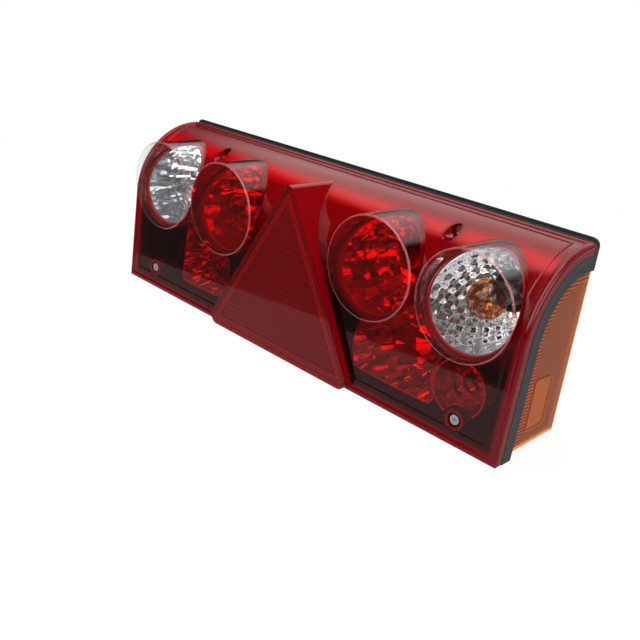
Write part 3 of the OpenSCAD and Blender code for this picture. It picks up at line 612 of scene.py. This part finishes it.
class REARLAMP_OT_lens(RearLampOperator, bpy.types.Operator):
    """Finishes the red lens moulding and the four tubes"""
    bl_idname = "rearlamp.lens"
    bl_label = "Lens and tubes"

    # Between which two places a finish comes in or runs out, in metres
    TUBE_FOOT = (-0.0016, -0.0008)      # out from the lens's curve
    TUBE_FRONT = (-0.0728, -0.0722)     # along Y
    TUBE_EDGE = (0.0352, 0.0358)        # out from the tube's middle
    LENS_ENDS = (0.1925, 0.1945)        # out along X
    LENS_FOOT = (-0.0648, -0.0628)      # up along Z
    LENS_HEAD = (-0.0122, -0.0102)      # along Y
    POCKET = (0.0066, 0.0074)           # out from a screw's middle
    GLOW = (-0.010, 0.045)              # up along Z, over which the painted glow comes in
    HIGHLIGHT_BAND = (0.0015, 0.0055)             # up and down from its height, where a painted highlight band lies
    HIGHLIGHT_HEIGHT = 0.056
    # Shares of body colour over the clear skin, where each is full: thick plastic, the screw pockets'
    # floor, the tubes' painted rim highlight and the upper curve's painted glow
    THICK, POCKET_FLOOR, BRIGHT_EDGE, UPPER_CURVE = 0.85, 0.75, 0.3, 0.45
    # Cross-section of a collar in millimetres: radius, and place before the bowl's mouth
    COLLAR = ((32.3, 0.2), (34.0, 0.2), (34.0, -1.4), (33.4, -1.9), (32.7, -1.7))

    def execute(self, context):
        plastics = self.plastics
        dress(self.tube("red tube", plastics.red), "fog_window", "stop_window")
        dress(self.tube("clear tube", plastics.clear), "reverse_window", "indicator_window")
        dress(self.moulding("red lens", plastics), "lens_body")
        self.collars(plastics)
        return {"FINISHED"}

    def collars(self, plastics):
        """Red rings that close the gap between a bowl's mouth and its tube."""
        material = opaque("collar red", shade(plastics.red_lit, 0.9), (0.08, 0.16),
                          grain=60.0, detail=2.0, patch=1.3 / 0.9, metallic=0.0)
        sides, corners = 96, len(self.COLLAR)
        reach = self.shape.bowl_radius / MM
        for name, place in TUBE_PLACES.items():
            bowl = Dish(place, 0.0, reach, self.shape)
            points, faces = [], []
            for radius, before in self.COLLAR:
                for i in range(sides):
                    turn = math.tau * i / sides
                    mouth = bowl.front(place[1] + reach * math.sin(turn))
                    points.append((place[0] + radius * math.cos(turn), mouth + before,
                                   place[1] + radius * math.sin(turn)))
            for j in range(corners):
                for i in range(sides):
                    here, after = j * sides, (j + 1) % corners * sides
                    k = (i + 1) % sides
                    faces.append((here + i, here + k, after + k, after + i))
            make_piece(f"{name}_collar", points, faces, material, math.radians(40.0))

    def tube(self, name, colour):
        """A clear or red tube, whose foot in the lens shows red and whose front edge has a painted
        highlight.
        """
        material, finish = new_finish(name)
        wave = finish.noise(70.0, 2.0)
        bump = finish.bump(wave, 0.00003)
        gloss = finish.gloss(wave, 0.01, 0.04)
        skin = finish.thin_wall(root_of(colour), gloss, bump)
        radius = self.shape.curve_radius
        foot = finish.fall(from_curve(finish, self.shape), *(radius + v for v in self.TUBE_FOOT))
        front = finish.fall(finish.axis("Y"), *self.TUBE_FRONT)
        across = abs(finish.axis("X"))
        inner, outer = (abs(across - TUBE_PLACES[tube][0] * MM) for tube in ("stop", "indicator"))
        aside = inner.math("MINIMUM", inner, outer)
        above = finish.axis("Z") - TUBE_PLACES["stop"][1] * MM
        # Painted highlight: a pale ring of body colour round each tube's front edge
        edge = front * finish.rise(from_line(aside, above), *self.TUBE_EDGE)
        painted_rim_highlight = (0.62, 0.20, 0.21)
        body = finish.principled(
            Base_Color=finish.blend(edge, tuple(self.plastics.red_lit), painted_rim_highlight),
            Roughness=gloss + 0.05, Normal=bump)
        finish.show(finish.mixed(foot * self.THICK | edge * self.BRIGHT_EDGE, skin, body))
        return material

    def moulding(self, name, plastics):
        """Thin red face; its rim, skirt and screw pockets are thick and show as a body colour, and its
        upper curve has a painted glow, lighter towards the top, and a painted highlight band.
        """
        material, finish = new_finish(name)
        wave = finish.noise(45.0, 2.0)
        bump = finish.bump(wave, 0.00004)
        gloss = finish.gloss(wave, 0.012, 0.04)
        skin = finish.thin_wall(root_of(plastics.red), gloss, bump)
        across, deep, height = (finish.axis(letter) for letter in "XYZ")
        thick = finish.rise(abs(across), *self.LENS_ENDS)
        thick = thick | finish.fall(height, *self.LENS_FOOT)
        thick = thick | finish.rise(deep, *self.LENS_HEAD)
        for x, z in SCREWS:
            from_screw = from_line(across - x * MM, height - z * MM)
            thick = thick | finish.fall(from_screw, *self.POCKET, full=self.POCKET_FLOOR)
        red = plastics.red_lit
        # Painted highlight: a band of red 2.5 times brighter across the upper curve at one height
        highlight_band = finish.fall(abs(height - self.HIGHLIGHT_HEIGHT), *self.HIGHLIGHT_BAND)
        lit = finish.blend(highlight_band, tuple(red), shade(red, 2.5))
        edge = finish.blend(wave, tuple(plastics.red_edge), shade(plastics.red_edge, 1.5))
        body = finish.principled(
            Base_Color=finish.blend(thick, lit, edge),
            Roughness=gloss + 0.04, Specular_IOR_Level=0.35, Normal=bump)
        # Painted glow: the red body shows more towards the top of the upper curve, where light falls
        # from above
        glow = finish.rise(height, *self.GLOW, full=self.UPPER_CURVE)
        finish.show(finish.mixed(thick * self.THICK | glow, skin, body))
        return material


def facet_relief(pattern, u, v, even_sector, even_row, crown):
    """How far a facet's surface stands in at a place u, v on it."""
    if pattern == "flute":
        return crown * (u if even_sector else 1.0 - u)
    if pattern == "tooth":
        ramp = u if even_sector == even_row else 1.0 - u
        return crown * (0.25 + 0.75 * v) * ramp
    if pattern == "ring":
        return crown * 0.5 * (1.0 - math.cos(math.tau * v))
    pillow = (1.0 - (2.0 * u - 1.0) ** 2) * (1.0 - (2.0 * v - 1.0) ** 2)
    return crown * pillow * (1.0 if even_sector == even_row else -0.35)


class Dish:
    """A faceted reflector dish round a bulb, in millimetres."""

    LENS_ROOM = 5.0     # from the lens's outer face to a dish's mouth
    BACK_ROWS = 4       # rows of faces on the plain back
    FADE = (0.06, 0.04)     # shares of the way over which reliefs run out, at hole and rim

    def __init__(self, centre, hole, reach, shape,
                 side=(-200.0, 200.0), bottom=-60.0, keep_out=()):
        """side and bottom are where it ends; keep_out holds circles (x, z, radius) it stays clear of."""
        self.centre, self.hole, self.reach = centre, hole, reach
        self.side, self.bottom, self.keep_out = side, bottom, keep_out
        self.back = -shape.bowl_back / MM
        self.wall = shape.wall / MM
        self.radius = shape.curve_radius / MM
        self.deep, self.high = -shape.curve_depth / MM, shape.curve_height / MM
        self.lean = shape.lean / MM
        self.low = CAD_BOX[0][2] / MM

    def front(self, z):
        """Where the lens leaves room for a dish's mouth at a height."""
        if z < self.high:
            share = (z - self.low) / (self.high - self.low)
            face = self.deep - self.radius - self.lean * (1.0 - share)
        else:
            face = self.deep - math.sqrt(max(self.radius ** 2 - (z - self.high) ** 2, 0.0))
        return face + self.LENS_ROOM

    def rim(self, turn):
        """How far the dish reaches at an angle, clear of its neighbours."""
        cos, sin = math.cos(turn), math.sin(turn)
        far = [self.reach]
        if sin < 0:
            far.append((self.bottom - self.centre[1]) / sin)
        if abs(cos) > 1e-6:
            far.append((self.side[cos > 0] - self.centre[0]) / cos)
        for x, z, radius in self.keep_out:
            aside, above = x - self.centre[0], z - self.centre[1]
            along = aside * cos + above * sin
            inside = radius ** 2 - aside ** 2 - above ** 2 + along ** 2
            if along > 0 and inside > 0:
                far.append(along - math.sqrt(inside))
        return min(far)

    def point(self, turn, share, out):
        """A point at an angle, a share of the way from hole to rim, and out behind the face."""
        rise = math.pi / 2 * share
        rim = self.rim(turn)
        mouth = self.front(self.centre[1] + rim * math.sin(turn))
        radius = self.hole + (rim - self.hole + out) * math.sin(rise)
        y = self.back + (mouth - self.back) * (1.0 - math.cos(rise)) + out * math.cos(rise)
        return (self.centre[0] + radius * math.cos(turn), y,
                self.centre[1] + radius * math.sin(turn))

    def fade(self, share):
        """Reliefs run out at the hole and at the rim."""
        at_hole, at_rim = self.FADE
        return min(1.0, share / at_hole, (1.0 - share) / at_rim)

    def mesh(self, sectors, zones, steps):
        """zones: one (pattern, rows, crown) for each part of the way from hole to rim."""
        around = sectors * steps
        turns = [math.tau * i / around for i in range(around)]
        rows = sum(zone[1] for zone in zones)
        points, row = [], 0
        for number, (pattern, zone_rows, crown) in enumerate(zones):
            last = number == len(zones) - 1
            for j in range(zone_rows * steps + last):
                share = (row + j / steps) / rows
                cell, v = divmod(j, steps)
                v /= steps
                if cell == zone_rows:
                    cell, v = zone_rows - 1, 1.0
                for i, turn in enumerate(turns):
                    sector, u = divmod(i, steps)
                    inward = facet_relief(pattern, u / steps, v, sector % 2 == 0,
                                          (row + cell) % 2 == 0, crown)
                    points.append(self.point(turn, share, -inward * self.fade(share)))
            row += zone_rows
        lines, outer = len(points) // around, len(points)
        for j in range(self.BACK_ROWS + 1):
            points += [self.point(turn, j / self.BACK_ROWS, self.wall) for turn in turns]
        faces = [(j * around + i, j * around + (i + 1) % around,
                  (j + 1) * around + (i + 1) % around, (j + 1) * around + i)
                 for j in range(lines - 1) for i in range(around)]
        for j in range(self.BACK_ROWS):
            for i in range(around):
                a, b = outer + j * around + i, outer + j * around + (i + 1) % around
                faces.append((a, a + around, b + around, b))
        inner_rim, outer_rim = (lines - 1) * around, outer + self.BACK_ROWS * around
        for i in range(around):
            k = (i + 1) % around
            faces.append((inner_rim + i, inner_rim + k, outer_rim + k, outer_rim + i))
            faces.append((i, outer + i, outer + k, k))
        return points, faces


class REARLAMP_OT_reflectors(RearLampOperator, bpy.types.Operator):
    """Makes the faceted bowls, fans and rings, and finishes the metallised panel"""
    bl_idname = "rearlamp.reflectors"
    bl_label = "Reflectors"

    # Facets round a dish, its zones (see Dish.mesh), and steps along a facet, which is flat with one
    FACETS = {
        "reverse": (38, [("flute", 8, 0.9)], 1),
        "fog": (24, [("flute", 5, 1.9)], 1),
        "stop": (26, [("flute", 6, 1.7)], 1),
        "indicator": (34, [("tooth", 2, 1.4), ("pillow", 6, 0.75)], 4),
        "left_tail": (32, [("flute", 4, 1.5)], 1),
        "right_tail": (30, [("flute", 4, 1.6)], 1),
        "right_ring": (30, [("ring", 7, 1.0)], 4),
    }
    # Millimetres: the fans' and the ring's own sizes, and the room that they leave round others
    FAN_HOLE, FAN_REACH, FAN_BOTTOM, LEFT_FAN_SIDE, RIGHT_FAN_END = 11.0, 44.0, -52.0, 14.0, 182.0
    RING_HOLE, RING_REACH, RING_END = 6.0, 19.0, 180.5
    TUBE_ROOM, SCREW_ROOM, RING_ROOM = 3.8, 10.1, 22.0

    def execute(self, context):
        shape = self.shape
        chrome = self.plastics.chrome
        mirror = opaque("metallised", chrome, (0.015, 0.05), grain=140.0, patch=0.9, metallic=0.92)
        satin = opaque("satin metal", chrome, (0.3, 0.45),
                       grain=60.0, detail=3.0, patch=0.85, metallic=0.35)
        dress(satin, "reflector_panel")
        reach, hole = shape.bowl_radius / MM, shape.bowl_hole / MM
        for name, place in TUBE_PLACES.items():
            self.set_dish(name, "bowl", Dish(place, hole, reach, shape), mirror)
        others = [(x, z, reach + self.TUBE_ROOM) for x, z in TUBE_PLACES.values()]
        others += [(x, z, self.SCREW_ROOM) for x, z in SCREWS]
        left_end = TAIL_PLACES["left_tail"][0] - self.LEFT_FAN_SIDE
        for name, side, keep_out in (
                ("left_tail", (left_end, 0.0), others),
                ("right_tail", (0.0, self.RIGHT_FAN_END), others + [(*RING_PLACE, self.RING_ROOM)])):
            fan = Dish(TAIL_PLACES[name], self.FAN_HOLE, self.FAN_REACH, shape,
                       side, self.FAN_BOTTOM, keep_out)
            self.set_dish(name, "fan", fan, mirror)
        ring = Dish(RING_PLACE, self.RING_HOLE, self.RING_REACH, shape,
                    side=(0.0, self.RING_END), keep_out=others)
        self.set_dish("right_ring", "dish", ring, mirror)
        return {"FINISHED"}

    def set_dish(self, name, kind, dish, mirror):
        sectors, zones, steps = self.FACETS[name]
        points, faces = dish.mesh(sectors, zones, steps)
        crisp = math.radians(3.0 if steps == 1 else 22.0)
        make_piece(f"{name}_{kind}", points, faces, mirror, crisp,
                   (f"{name}_reflector",))


class REARLAMP_OT_bulbs(RearLampOperator, bpy.types.Operator):
    """Makes the bulbs' stems, wires and coils, and finishes their glass, caps and strips"""
    bl_idname = "rearlamp.bulbs"
    bl_label = "Bulbs and holders"

    def execute(self, context):
        clear = glass("bulb glass", (0.94, 0.95, 0.94))
        amber = glass("amber glass", (0.52, 0.16, 0.035))
        dress(clear, *[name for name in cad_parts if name.endswith("_bulb")])
        dress(amber, "indicator_bulb", "marker_bulb")
        dress(opaque("nickel brass", (0.62, 0.58, 0.50), (0.18, 0.4)),
              *[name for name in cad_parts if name.endswith("_cap")])
        dress(opaque("strip brass", (0.70, 0.48, 0.20), (0.18, 0.4)), "earth_strip", "supply_strip")
        self.insides(clear)
        return {"FINISHED"}

    @staticmethod
    def insides(clear):
        """Two support wires, a coil between their tips and a glass stem in each larger bulb."""
        wire_radius, coil_radius, coil_wire, root_gap = 0.28, 0.7, 0.12, 0.6
        turns, steps = 12, 10
        wires, wire_faces, stems, stem_faces = [], [], [], []
        for name in TUBE_NAMES + TAIL_NAMES:
            low, high = box_in_mm(f"{name}_bulb")
            radius = (high[0] - low[0]) / 2
            x, z = (low[0] + high[0]) / 2, (low[2] + high[2]) / 2
            root, tip = high[1] - root_gap, low[1] + radius
            half = radius * 0.3
            for side in (-1, 1):
                path = [(x + side * half * 0.4, root, z),
                        (x + side * half * 0.5, root - radius * 0.5, z),
                        (x + side * half, tip + radius * 0.25, z),
                        (x + side * half, tip, z)]
                add_mesh(wires, wire_faces, *rod(path, wire_radius))
            coil = []
            for k in range(turns * steps + 1):
                turn = math.tau * k / steps
                coil.append((x - half + 2 * half * k / (turns * steps),
                             tip + coil_radius * math.cos(turn), z + coil_radius * math.sin(turn)))
            add_mesh(wires, wire_faces, *rod(coil, coil_wire, 5))
            stem = [(x, root - radius * share, z) for share in (0.0, 0.22, 0.5)]
            add_mesh(stems, stem_faces, *rod(stem, radius * 0.16, 12))
        wire = opaque("support wire", (0.55, 0.54, 0.52), (0.25, 0.45))
        crisp = math.radians(50.0)
        make_piece("bulb_wires", wires, wire_faces, wire, crisp)
        make_piece("bulb_stems", stems, stem_faces, clear, crisp)


class REARLAMP_OT_triangle(RearLampOperator, bpy.types.Operator):
    """Finishes the triangle reflector and makes the corner prisms behind its face"""
    bl_idname = "rearlamp.triangle"
    bl_label = "Triangle reflector"

    NODE = "triangle_reflector"
    SLOPE = 80.5 / 135.0        # half its width for each millimetre below its sharp tip
    TIP = 3.4                   # how far the sharp tip stands above the rounded one
    LINE_INSETS = (5.2, 7.4)    # of the two border lines
    LINE_DEPTH, LINE_RADIUS = 0.7, 0.28
    SHEET_DEPTH = 3.5           # of the prisms' open side, behind the face
    SHEET_LOW, SHEET_TOP, SHEET_SIDE = 8.0, 4.0, 5.5    # gaps that the prisms leave

    def execute(self, context):
        red = tuple(self.plastics.reflex)
        dress(self.plate(red, tuple(self.plastics.red_lit)), self.NODE)
        coat = opaque("corner prisms", shade(red, 0.8), (0.18, 0.34),
                      grain=500.0, detail=2.0, patch=1.25, metallic=0.5)
        points, faces = self.prisms(self.shape.prism / MM)
        make_piece("triangle_prisms", points, faces, coat)
        self.border()
        return {"FINISHED"}

    @staticmethod
    def plate(red, lit):
        """A clear red face over a body that glows towards its top, where light falls in."""
        material, finish = new_finish("reflex red")
        wave = finish.noise(60.0, 2.0)
        skin = finish.thin_wall((0.90, 0.03, 0.05), finish.gloss(wave, 0.03, 0.07))
        high = finish.rise(finish.axis("Z"), 0.0, 0.045)
        body = finish.principled(
            Base_Color=finish.blend(high, finish.blend(wave, red, shade(red, 0.85)), lit),
            Roughness=0.12)
        deep = finish.spread(finish.axis("Y"), -0.0762, -0.0752, 0.25, 0.8)
        finish.show(finish.mixed(deep, skin, body))
        return material

    def border(self):
        """Fine lines inside the triangle's edges, where its prisms end, in a pale red that is a painted
        highlight.
        """
        # Painted highlight: the lines are a pale red, far lighter than the prisms
        material = opaque("prism border highlight", (0.75, 0.10, 0.13), (0.15, 0.3),
                          grain=200.0, detail=2.0, patch=0.6, metallic=0.0)
        box_low, box_high = box_in_mm(self.NODE)
        y = box_low[1] + self.LINE_DEPTH
        points, faces = [], []
        for inset in self.LINE_INSETS:
            low = box_low[2] + inset
            top = box_high[2] + self.TIP - inset / math.sin(math.atan(self.SLOPE))
            half = (top - low) * self.SLOPE
            loop = [(-half, y, low), (half, y, low), (0.0, y, top)]
            for k in range(3):
                add_mesh(points, faces, *rod([loop[k], loop[(k + 1) % 3]], self.LINE_RADIUS))
        make_piece("triangle_border", points, faces, material, math.radians(50.0))

    def prisms(self, side):
        """A sheet of three-sided corner prisms with a shallow back, behind the triangle's plate."""
        box_low, box_high = box_in_mm(self.NODE)
        front, depth = box_low[1] + self.SHEET_DEPTH, side / math.sqrt(6.0)
        row = side * math.sqrt(3.0) / 2
        low, top = box_low[2] + self.SHEET_LOW, box_high[2] - self.SHEET_TOP
        points, faces, known = [], [], {}

        def corner(i, j):
            if (i, j) not in known:
                known[(i, j)] = len(points)
                points.append(((i + j / 2) * side, front, low + j * row))
            return known[(i, j)]

        for j in range(int((top - low) / row)):
            half = (box_high[2] + self.TIP - (low + j * row)) * self.SLOPE - self.SHEET_SIDE
            reach = int(half / side) + 1
            for i in range(-reach - j, reach + 1):
                for cell in (((i, j), (i + 1, j), (i, j + 1)),
                             ((i + 1, j), (i + 1, j + 1), (i, j + 1))):
                    if max(abs(a + b / 2) * side for a, b in cell) > half:
                        continue
                    trio = [corner(a, b) for a, b in cell]
                    x, z = (sum(points[k][axis] for k in trio) / 3 for axis in (0, 2))
                    tip = len(points)
                    points.append((x, front + depth, z))
                    faces += [(trio[k], trio[(k + 1) % 3], tip) for k in range(3)]
        return points, faces


class REARLAMP_OT_marker(RearLampOperator, bpy.types.Operator):
    """Finishes the amber side marker"""
    bl_idname = "rearlamp.marker"
    bl_label = "Side marker"

    # Between which two places a finish comes in or runs out, in metres
    FOOT = (-0.0625, -0.0605)           # up along Z
    REAR = (-0.0048, -0.0036)           # along Y
    RIBBED = (0.0376, 0.0382)           # out from the lens's curve
    PANEL_ACROSS = (0.0105, 0.0115)     # to both sides of its middle
    PANEL_UP = (0.0172, 0.0182)         # up and down from its middle
    PANEL_MIDDLE = (-0.0316, -0.0357)   # Y and Z
    RIB_PITCH = 0.0024
    # Shares of coloured plastic over the clear skin: everywhere, and added on ribs and edges
    BODY_SHARE, MORE_ON_RIBS = 0.45, 0.4

    def execute(self, context):
        plastics = self.plastics
        material, finish = new_finish("amber lens")
        wave = finish.noise(80.0, 2.0)
        deep, height = finish.axis("Y"), finish.axis("Z")
        skin = finish.thin_wall(root_of(plastics.amber), finish.gloss(wave, 0.02, 0.05),
                                polish=0.02)
        # Painted light and shade: the ribbed part shows stripes of dark and bright amber, one pair for
        # each rib
        turn = height * (math.tau / self.RIB_PITCH)
        shaded_rib, lit_rib = (0.05, 0.006, 0.001), (0.45, 0.07, 0.004)
        ribs = finish.blend(finish.rise(turn.math("SINE", turn), -0.3, 0.3), shaded_rib, lit_rib)
        panel_deep, panel_height = self.PANEL_MIDDLE
        panel = finish.fall(abs(deep - panel_deep), *self.PANEL_ACROSS)
        panel = panel * finish.fall(abs(height - panel_height), *self.PANEL_UP)
        edge = plastics.amber_edge
        face = finish.blend(wave, tuple(edge), shade(edge, 0.8))
        face = finish.blend(panel, face, (0.55, 0.13, 0.01))
        ribbed = finish.rise(from_curve(finish, self.shape), *self.RIBBED)
        # Painted glow: the marker's foot and rear edge show a bright orange body colour
        lit = finish.fall(height, *self.FOOT) | finish.rise(deep, *self.REAR)
        body = finish.principled(
            Base_Color=finish.blend(lit, finish.blend(ribbed, face, ribs), (0.95, 0.30, 0.03)),
            Roughness=finish.gloss(wave, 0.06, 0.12), Specular_IOR_Level=0.25)
        finish.show(finish.mixed((lit | ribbed) * self.MORE_ON_RIBS + self.BODY_SHARE, skin, body))
        dress(material, "side_marker_lens")
        return {"FINISHED"}


class REARLAMP_OT_case(RearLampOperator, bpy.types.Operator):
    """Finishes the housing, its rubber and the connector"""
    bl_idname = "rearlamp.case"
    bl_label = "Housing and rubber"

    def execute(self, context):
        case = opaque("case plastic", self.plastics.case, (0.34, 0.5),
                      grain=30.0, patch=1.6, metallic=0.0, pores=(900.0, 0.00012))
        dress(case, "housing", "connector_socket", "vent_plug",
              *[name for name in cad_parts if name.endswith("_holder")])
        rubber = opaque("black rubber", self.plastics.rubber, (0.5, 0.66),
                        grain=40.0, patch=1.4, metallic=0.0, pores=(1200.0, 0.00015))
        dress(rubber, "lens_gasket", "screw_seals", "connector_seal")
        return {"FINISHED"}


class REARLAMP_OT_fixings(RearLampOperator, bpy.types.Operator):
    """Finishes the screws, studs and connector pins"""
    bl_idname = "rearlamp.fixings"
    bl_label = "Screws, studs and pins"

    def execute(self, context):
        for name, colour, rough, node in (
                ("screw steel", (0.78, 0.78, 0.77), (0.12, 0.25), "lens_screws"),
                ("stud steel", (0.60, 0.61, 0.60), (0.22, 0.42), "mounting_studs"),
                ("pin brass", (0.62, 0.58, 0.50), (0.18, 0.35), "connector_pins")):
            dress(opaque(name, colour, rough), node)
        return {"FINISHED"}


OPERATORS = (
    REARLAMP_OT_stage,
    REARLAMP_OT_lens,
    REARLAMP_OT_reflectors,
    REARLAMP_OT_bulbs,
    REARLAMP_OT_triangle,
    REARLAMP_OT_marker,
    REARLAMP_OT_case,
    REARLAMP_OT_fixings,
)


class REARLAMP_PT_sidebar(bpy.types.Panel):
    """Lists the makers of the lamp's pieces"""
    bl_idname = "REARLAMP_PT_sidebar"
    bl_label = "Rear lamp"
    bl_space_type = "VIEW_3D"
    bl_region_type = "UI"
    bl_category = "Rear lamp"

    def draw(self, context):
        for operator in OPERATORS:
            self.layout.operator(operator.bl_idname)


CLASSES = (LampStage, LampPlastic, LampShape, *OPERATORS, REARLAMP_PT_sidebar)


def register():
    for item in CLASSES:
        bpy.utils.register_class(item)
    bpy.types.Scene.rear_lamp_stage = PointerProperty(type=LampStage)
    bpy.types.Scene.rear_lamp_plastic = PointerProperty(type=LampPlastic)
    bpy.types.Scene.rear_lamp_shape = PointerProperty(type=LampShape)


def unregister():
    del bpy.types.Scene.rear_lamp_shape
    del bpy.types.Scene.rear_lamp_plastic
    del bpy.types.Scene.rear_lamp_stage
    for item in reversed(CLASSES):
        bpy.utils.unregister_class(item)


def main():
    register()
    for operator in OPERATORS:
        group, name = operator.bl_idname.split(".")
        getattr(getattr(bpy.ops, group), name)()
    bpy.context.view_layer.update()


if __name__ == "__main__":
    main()
